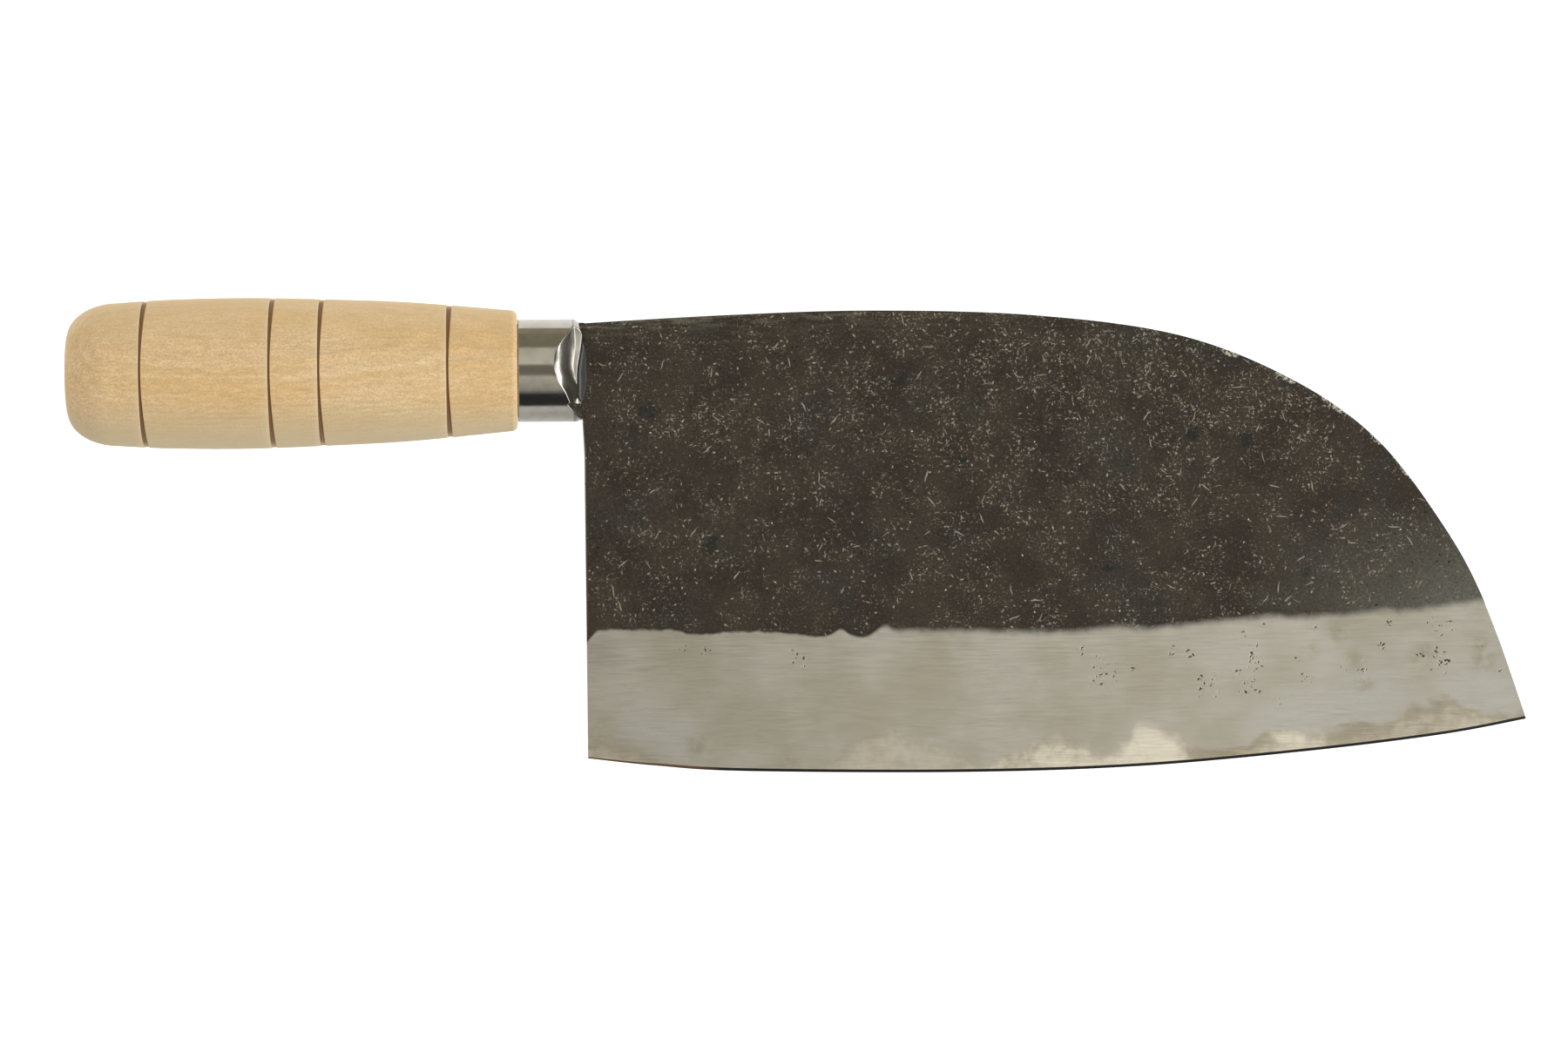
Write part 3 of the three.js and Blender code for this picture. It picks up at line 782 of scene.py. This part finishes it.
def resin_material():
    shader = Shader("dark_resin")
    place = shader.millimetres()
    haze = shader.noise(place, 1.5, 3.0)
    colour = shader.mix(haze, RESIN_DARK, RESIN_LIGHT)
    rough = shader.step(haze, 0.3, 0.7, 0.06, 0.14)
    return shader.finish(
        Base_Color=colour, Roughness=rough, IOR=1.5, Specular_IOR_Level=0.22,
        Normal=shader.bump(haze, 0.02, 0.3),
    )


def tang_rings():
    """Tang, neck and heel curve as x, top, bottom and half thickness."""
    root = -NECK_LENGTH - SHOULDER_LENGTH
    end = TANG_HEIGHT / 2 * TANG_END
    full = plate_half(HEEL_STEP, 0)
    return [
        (-TANG_LENGTH, end, -end, TANG_THICKNESS / 2 * TANG_END),
        (root, TANG_HEIGHT / 2, -TANG_HEIGHT / 2, TANG_THICKNESS / 2),
        (-NECK_LENGTH, NECK_HEIGHT, -NECK_HEIGHT, TANG_THICKNESS / 2),
        (0.0, NECK_HEIGHT, -NECK_HEIGHT, full),
        (HEEL_CURVE_RUN * HEEL_STEP, NECK_HEIGHT, -NECK_HEIGHT - HEEL_CURVE, full),
    ]


def stations(end):
    """Places along the blade, closer together towards the nose."""
    steps = np.linspace(0, 1, STATIONS)
    crowded = NOSE_CROWDING * np.sin(steps * math.pi / 2) + (1 - NOSE_CROWDING) * steps
    return HEEL_STEP + (end - HEEL_STEP) * crowded


def spots(x, y, places):
    """Strength of the nearest soft spot, from 0 to 1."""
    return np.max([np.exp(-((x - a) ** 2 + (y - b) ** 2) / r**2) for a, b, r in places], axis=0)


def blade_fields(rings):
    """Finish of the blade at each of its points."""
    x, y, _ = np.moveaxis(rings, -1, 0)
    above_scale = y - scale_line(x)
    above_edge = y - edge_at(x)
    nose = np.clip((x - NOSE_START) / NOSE_RUN, 0, 1)
    stray = STRAY_PITS * nose * smooth(above_edge, *STRAY_HEIGHT)
    return {
        "scale_line": above_scale,
        "core_line": above_edge - core_line(x),
        "core_shows": core_shows(x),
        "core_bright": core_bright(x),
        "above_edge": above_edge,
        "pits": CLUSTER_PITS * spots(x, y, PIT_CLUSTERS) - PIT_CUT + stray,
        "stain": spots(x, y, BROWN_STAINS),
        "cloud": spots(x, y, WHITE_CLOUDS),
        "dull": DULL_SHARE * spots(x, y, DULL_CORNER),
        "blue": spots(x, y, BLUE_PATCHES),
        # Painted sheen: the scale is paler towards the nose, near the scale line.
        "pale": nose * np.clip(1 - above_scale / PALE_HEIGHT, 0, 1),
        "wear": spots(x, y, WORN_EDGE) * np.exp((y - spine_at(x)) / WEAR_DEPTH),
        "rim": np.exp((y - spine_at(x)) / RIM_DEPTH) * smooth(x, *RIM_FADE),
    }


@np.vectorize
def forged(x, y):
    """Unevenness of the forged flat, from 0 to 1, none near its outline."""
    inside = min(spine_at(x) - y, y - ground_at(x), x - HEEL_STEP, TIP - x)
    broad = noise.noise(Vector((x / HAMMER_LENGTH, y / HAMMER_HEIGHT, 2.0)))
    fine = noise.noise(Vector((x / DIMPLE, y / DIMPLE, 7.0)))
    rough = broad + fine / 2
    return np.clip(inside / FLAT_MARGIN, 0, 1) * np.clip(0.5 - rough / 2, 0, 1)


def cladding(side, name, material):
    """Soft outer layer on one face, with its strip of the tang."""
    xs = stations(CLADDING_END)
    top, line = spine_at(xs), layer_line(xs, WELD_HALF)
    spare = np.minimum(top - line, blade_half(xs, top) - WELD_HALF)
    radius = np.minimum(SPINE_ROUND, ROUND_SHARE * np.maximum(spare, 0))
    shoulder = np.minimum(ground_at(xs), top - radius)
    weld = np.full_like(xs, WELD_HALF)
    rows = [(top, weld)]
    for angle in np.linspace(0, math.pi / 2, ROUND_ROWS, endpoint=False):
        y = top - radius * (1 - math.cos(angle))
        rows.append((y, blade_half(xs, y) - radius * (1 - math.sin(angle))))
    for share in np.linspace(0, 1, FLAT_ROWS, endpoint=False):
        y = top - radius + share * (shoulder - top + radius)
        rows.append((y, blade_half(xs, y) - FORGED_UNEVENNESS * forged(xs, y)))
    for share in np.linspace(0, 1, BEVEL_ROWS):
        y = shoulder + share * (line - shoulder)
        rows.append((y, np.maximum(blade_half(xs, y), WELD_HALF)))
    rows.append((line, weld))
    blade = np.stack([np.stack([xs, y, z], -1) for y, z in rows], 1)
    tang = []
    for x, high, low, half in tang_rings():
        flank = [(x, y, half) for y in np.linspace(high, low, len(rows) - 2)]
        tang.append([(x, high, WELD_HALF), *flank, (x, low, WELD_HALF)])
    rings = np.concatenate([tang, blade]) * (1, 1, side)
    piece(name, rings, material, fields=blade_fields(rings))


def core(material):
    """Hard layer in the middle, which reaches the surface along the edge."""
    xs = stations(TIP - SPARE)
    top, edge = spine_at(xs), edge_at(xs) + SPARE
    line = np.minimum(layer_line(xs, CORE_HALF), top)
    shoulder = np.minimum(edge + CUTTING_BEVEL, top)
    rows = [(top, np.minimum(CORE_HALF, blade_half(xs, top)))]
    for share in np.linspace(0, 1, CORE_ROWS):
        y = line + share * (shoulder - line)
        rows.append((y, np.minimum(CORE_HALF, blade_half(xs, y))))
    rows.append((edge, np.zeros_like(xs)))
    blade = np.stack([np.stack([xs, y, z], -1) for y, z in rows], 1)
    tang = []
    for x, high, low, _ in tang_rings():
        foot = [(x, low, z) for z in np.linspace(CORE_HALF, 0, len(rows) - 1)]
        tang.append([(x, high, CORE_HALF), *foot])
    half = np.concatenate([tang, blade])
    rings = np.concatenate([half, half[:, -2::-1] * (1, 1, -1)], axis=1)
    piece("blade_core", rings, material, fields=blade_fields(rings))


def groove_depth(offset, angles):
    """Depth of a groove: narrow and deep where it faces along z, wide and shallow along y."""
    facing = abs(np.sin(angles))
    spread = 1 - np.exp(GROOVE_SPREAD * (facing - 1))
    width = GROOVE_NARROW + (GROOVE_WIDE - GROOVE_NARROW) * spread
    back = offset + GROOVE_BACK
    depth = GROOVE_DEPTH * (GROOVE_SIDE + (1 - GROOVE_SIDE) * smooth(facing, *GROOVE_FADE))
    return depth * smooth(back, 0, GROOVE_WALL) * smooth(back, width, width - GROOVE_WALL)


def handle(material):
    """Barrel turned about the handle axis, with its grooves, spigot and bore."""
    corner_x, corner_r = BUTT + BUTT_ROUND, BUTT_CORNER * HANDLE_RADIUS
    span = HANDLE_FRONT - FRONT_ROUND - corner_x
    radius_at = curve(
        [(corner_x, corner_r)]
        + [(corner_x + s * span, r * HANDLE_RADIUS) for s, r in BARREL]
        + [(HANDLE_FRONT, FRONT_RADIUS)]
    )
    lines = np.array([BUTT + share * HANDLE_LENGTH for share in GROOVES])
    places = np.arange(HANDLE_FRONT - FRONT_ROUND - FRONT_GAP, corner_x + BUTT_GAP, -BARREL_STEP)
    places = places[np.abs(places[:, None] - lines).min(1) > GROOVE_WIDE]
    cuts = lines[:, None] + np.linspace(*CUT_SPAN, CUT_STEPS)
    places = np.sort(np.concatenate([places, cuts.ravel()]))[::-1]

    quarter = np.linspace(0, math.pi / 2, ROUND_STEPS)
    front_r = radius_at(HANDLE_FRONT - FRONT_ROUND) - FRONT_ROUND
    front = [
        (HANDLE_FRONT - FRONT_ROUND * (1 - math.cos(a)), front_r + FRONT_ROUND * math.sin(a))
        for a in quarter
    ]
    barrel = [(x, radius_at(x)) for x in places]
    run, fall = BUTT_ROUND - SPARE, corner_r - BUTT_FLAT
    butt = [(corner_x - run * math.sin(a), BUTT_FLAT + fall * math.cos(a)) for a in quarter]
    profile = np.array([
        (BUTT + SPARE, 0), (BORE_END, 0), (BORE_END, BORE_RADIUS), (SPIGOT_FRONT, BORE_RADIUS),
        (SPIGOT_FRONT, SPIGOT_RADIUS), (HANDLE_FRONT, SPIGOT_RADIUS),
    ] + front + barrel + butt)

    angles = np.linspace(0, math.tau, HANDLE_SIDES, endpoint=False)[:, None]
    x, r = profile.T
    offset = x[:, None] - lines
    depth = groove_depth(offset, angles[:, :, None]).max(-1)
    droop = HANDLE_DROOP * np.clip((HANDLE_FRONT - x) / HANDLE_LENGTH, 0, 1)
    rings = np.stack([
        np.broadcast_to(x, (HANDLE_SIDES, len(x))), (r - depth) * np.cos(angles) - droop,
        (r - depth) * np.sin(angles),
    ], -1)
    # Painted highlight along the lip behind each groove, as a share.
    beside = (offset + GROOVE_BACK + GROOVE_LIP_PLACE) / GROOVE_LIP_WIDTH
    lip = GROOVE_LIP_SHARE * np.exp(-(beside**2)).max(1)
    fields = {"groove": depth / GROOVE_DEPTH, "lip": np.tile(lip, HANDLE_SIDES)}
    piece("handle", rings, material, closed=True, fields=fields)


def smooth_min(a, b, soft):
    mixed = np.clip(0.5 + 0.5 * (b - a) / soft, 0, 1)
    return b + (a - b) * mixed - soft * mixed * (1 - mixed)


def front_edge(v):
    """Place of the ferrule's front edge along the axis, set back at the lips."""
    return -LIP_SET_BACK * (1 - smooth(v, *SET_BACK_TOP)) * smooth(v, *SET_BACK_FOOT)


def dent_share(u, v):
    """How far a place is across the dent: 0 at its back edge, 1 at the lip."""
    return (u - dent_edge(v)) / (lip_edge(v) - dent_edge(v))


def pressed(u, v):
    """Height over the mid-plane of the dent that closes the ferrule on the blade."""
    round_half = np.sqrt(np.maximum(FERRULE_RADIUS**2 - v**2, 0))
    share = dent_share(u, v)
    lip_height = LIP_HALF + LIP_RISE * np.maximum(v - LIP_MIDDLE, 0) ** 2
    middle = smooth(v, *SOFT_ABOVE) * smooth(v, *SOFT_BELOW)
    fall = np.maximum(share, 0) ** (DENT_POWER + DENT_SOFTNESS * middle)
    beyond = BEHIND_RISE * np.maximum(-share, 0) + TOP_RISE * np.maximum(v - DENT_TOP, 0)
    dent = round_half - (round_half - lip_height) * fall + beyond
    lip = lip_height - LIP_SLOPE * (u - lip_edge(v))
    upper = -smooth_min(-dent, -lip, LIP_BLEND)
    fold = round_half - FOLD_SLOPE * (u - FOLD_BACK - FOLD_RUN * (FOLD_HEIGHT - v))
    folded = smooth(v, FOLD_HEIGHT, FOLD_HEIGHT - FOLD_BLEND)
    return upper + folded * (np.maximum(fold, FOLD_HALF) - upper)


def ferrule(material):
    """Polished cup, turned at the back and pressed to a slot at the mouth."""
    angles = np.linspace(0, math.tau, FERRULE_SIDES, endpoint=False)
    lengths = np.concatenate([
        [-FERRULE_LENGTH, -FERRULE_LENGTH + BACK_EDGE],
        *([line - RIM_LINE_HALF, line, line + RIM_LINE_HALF] for line in RIM_LINES),
        np.linspace(*PLAIN_PART, PLAIN_RINGS), np.linspace(*PRESSED_PART, PRESSED_RINGS),
        list(FRONT_INSETS),
    ])
    insets = {-FERRULE_LENGTH: FRONT_INSETS[0.0], **FRONT_INSETS}
    insets.update({line: RIM_LINE_DEPTH for line in RIM_LINES})

    def ring(u, inset, lip_inset):
        reach = np.clip(1 + u / MOUTH_ROUND, 0, 1)
        drop = (1 - math.sqrt(1 - reach**2)) * (MOUTH_DROP + MOUTH_TILT * np.sin(angles))
        radius = FERRULE_RADIUS - drop - inset
        v, z = radius * np.sin(angles), radius * np.cos(angles)
        along = u + front_edge(v) * np.clip(1 + u / SET_BACK_RUN, 0, 1) ** SET_BACK_POWER
        limit = np.maximum(pressed(along, v) - lip_inset, FOLD_HALF - lip_inset / 4)
        soft = CREASE + TOP_CREASE * smooth(v, *TOP_CREASE_RUN)
        return np.stack([along, v, np.sign(z) * smooth_min(abs(z), limit, soft)], -1)

    outer = [ring(u, insets.get(u, 0.0), insets.get(u, 0.0)) for u in lengths]
    inner_lengths = np.append(lengths[:0:-INNER_STEP], lengths[0])
    inner = [ring(u, FERRULE_WALL, LIP_WALL) for u in inner_lengths]
    rings = np.array(outer + inner)
    # Satin stretch across the dent, which is rougher and also darkens the colour as painted shade.
    across = dent_share(rings[..., 0], rings[..., 1])
    dull = smooth(across, *SATIN_START) * smooth(across, *SATIN_END)
    piece(
        "ferrule", rings, material, closed=True, fields={"dull": dull}, crease=55
    )


def mouth_seal(material):
    """Fillet of resin between each lip and the blade, with a thick front rim."""
    sections = []
    share = 1 - np.linspace(1, 0, BEAD_STEPS) ** 2
    for v in BEAD_HEIGHT / 2 * np.cos(np.linspace(0, math.pi, BEAD_SECTIONS)):
        swell = math.sqrt(max(1 - (2 * v / BEAD_HEIGHT) ** 2, 0))
        front = BEAD_BULGE - BEAD_END_BACK * (1 - swell)
        back = min(float(front_edge(v)), front) - BEAD_LAP
        face = plate_half(HEEL_STEP, v)
        high = min(float(pressed(back, v)) - BEAD_CLEARANCE, LIP_HALF - BEAD_CLEARANCE)
        u = back + (front - back) * share
        hollow = (high - face) * (1 - np.sqrt(1 - (1 - share) ** 2))
        rise = hollow + BEAD_RIM * np.sqrt(1 - share**BEAD_RIM_POWER)
        top = np.stack([u, np.full_like(u, v), face + rise], -1)
        sections.append(np.concatenate([[(back - BEAD_ROOT, v, high)], top]))
    half = np.array(sections)
    rings = np.concatenate([half, half[:, ::-1] * (1, 1, -1)], axis=1)
    piece("mouth_seal", rings, material, crease=50)


# Parts of the floor in metres across the knife and along it, and how strongly each part glows.
FLOOR_REACH = 6.0
SPINE_SIDE = (-0.01, 0.06)
HANDLE_END = (-0.045, -0.02)
FAR_SIDE = (0.095, 0.105)
EDGE_GLOW = 0.42
HANDLE_GLOW = 0.9
BLADE_GLOW = 0.4
FAR_GLOW = 0.3


def floor():
    """Floor that the camera sees as white and reflections see as an uneven soft glow."""
    shader = Shader("studio_floor")
    place = shader.node("TexCoord", {}, output="Object")
    along, across = shader.axis(place, "X"), shader.axis(place, "Y")
    beside = shader.step(along, *HANDLE_END, HANDLE_GLOW, BLADE_GLOW)
    glow = shader.blend(shader.step(across, *SPINE_SIDE), EDGE_GLOW, beside)
    far = shader.step(across, *FAR_SIDE)
    glow = shader.blend(far, glow, FAR_GLOW)
    sight = shader.node("LightPath", {}, output="Is Camera Ray")
    unseen = shader.blend(sight, far, 0.0)
    pale = shader.mix(shader.noise(place, 0.4, 2.0), FLOOR_GREY, FLOOR_PALE)
    material = shader.finish(
        Base_Color=shader.mix(far, pale, FLOOR_BROWN),
        Roughness=0.9,
        Specular_IOR_Level=0.1,
        Emission_Color=shader.mix(unseen, WHITE, FAR_TINT),
        Emission_Strength=shader.blend(sight, glow, 1.0),
    )
    mesh = bpy.data.meshes.new("floor")
    signs = ((-1, -1), (1, -1), (1, 1), (-1, 1))
    mesh.from_pydata([(a * FLOOR_REACH, b * FLOOR_REACH, 0) for a, b in signs], [], [(0, 1, 2, 3)])
    mesh.materials.append(material)
    ground = bpy.data.objects.new("floor", mesh)
    bpy.context.scene.collection.objects.link(ground)


# Brightness of the room round the handle axis, as degrees from straight up towards the spine.
ROOM = [
    (-180, (0.5, 0.5, 0.5)), (-92, (0.5, 0.5, 0.5)), (-86, (0.04, 0.04, 0.04)),
    (-57, (0.04, 0.04, 0.04)), (-45, (0.5, 0.48, 0.42)), (-16, (0.72, 0.69, 0.61)),
    (-10, (0.25, 0.225, 0.19)), (9, (0.25, 0.225, 0.19)), (14, (0.88, 0.84, 0.73)),
    (50, (0.78, 0.74, 0.63)), (52, (0.30, 0.26, 0.19)), (96, (0.34, 0.3, 0.22)),
    (99, (0.5, 0.5, 0.5)), (180, (0.5, 0.5, 0.5)),
]

# Walls of the room at the tip end and the butt end. They start and are full where a direction has
# these shares along the knife, and the tip wall's dark corner where it has these slopes across it.
TIP_WALL = (2.1, 2.08, 2.0, 1)
TIP_CORNER = (0.16, 0.15, 0.14, 1)
BUTT_WALL = (0.85, 0.835, 0.775, 1)
CORNER_START = 0.15
CORNER_FULL = 0.45
WALL_START = 0.3
WALL_FULL = 0.6


def room():
    """Bands of light round the knife with a wall at each end, white where the camera sees it."""
    world = bpy.data.worlds.new("studio")
    bpy.context.scene.world = world
    world.use_nodes = True
    nodes = Nodes(world.node_tree)
    place = nodes.node("TexCoord", {}, output="Generated")
    along, across, up = (nodes.axis(place, name) for name in "XYZ")
    turn = nodes.math("ARCTAN2", across, up)
    share = nodes.node("MapRange", {"Value": turn, "From Min": -math.pi, "From Max": math.pi})
    light = nodes.node("ValToRGB", {0: share})
    stops = light.node.color_ramp.elements
    while len(stops) < len(ROOM):
        stops.new(0.5)
    for stop, (degrees, colour) in zip(stops, ROOM):
        stop.position = (degrees + 180) / 360
        stop.color = (*colour, 1)
    corner = nodes.step(nodes.math("DIVIDE", across, along), CORNER_START, CORNER_FULL)
    tip_wall = nodes.mix(corner, TIP_WALL, TIP_CORNER)
    for end, wall in ((1, tip_wall), (-1, BUTT_WALL)):
        walled = nodes.step(along, end * WALL_START, end * WALL_FULL)
        light = nodes.mix(walled, light, wall)
    sight = nodes.node("LightPath", {}, output="Is Camera Ray")
    seen = nodes.mix(sight, light, WHITE)
    nodes.plug(nodes.tree.nodes["Background"].inputs["Color"], seen)


def soft_box(name, tilt, turn, distance, size, brightness):
    """Square light over the knife, tilted from straight up and turned from +X, in degrees."""
    lean, turned = math.radians(tilt), math.radians(turn)
    aside = Vector((math.cos(turned), math.sin(turned), 0)) * math.sin(lean)
    place = (aside + Vector((0, 0, math.cos(lean)))) * distance
    data = bpy.data.lights.new(name, "AREA")
    data.size = size
    data.energy = brightness * math.pi * size**2
    lamp = bpy.data.objects.new(name, data)
    lamp.location = place
    lamp.rotation_euler = (-place).to_track_quat("-Z", "Y").to_euler()
    bpy.context.scene.collection.objects.link(lamp)
    return lamp


def camera():
    data = bpy.data.cameras.new("camera")
    data.lens = LENS
    data.sensor_width = SENSOR
    eye = bpy.data.objects.new("camera", data)
    eye.location = CAMERA_PLACE
    eye.rotation_euler = (0, 0, -CAMERA_ROLL)
    bpy.context.scene.collection.objects.link(eye)
    bpy.context.scene.camera = eye


iron = cladding_material()
cladding(1, "cladding_left", iron)
cladding(-1, "cladding_right", iron)
core(core_material())
handle(wood_material())
ferrule(ferrule_material())
resin = resin_material()
mouth_seal(resin)
frame["nodes"]["resin_bed"].data.materials.clear()
frame["nodes"]["resin_bed"].data.materials.append(resin)

floor()
room()
soft_box("right_box", tilt=72, turn=0, distance=2.2, size=0.9, brightness=4.0)
back_box = soft_box("back_box", tilt=52, turn=90, distance=2.2, size=0.9, brightness=2.3)
back_box.visible_glossy = False
camera()
bpy.context.scene.view_settings.view_transform = "Standard"
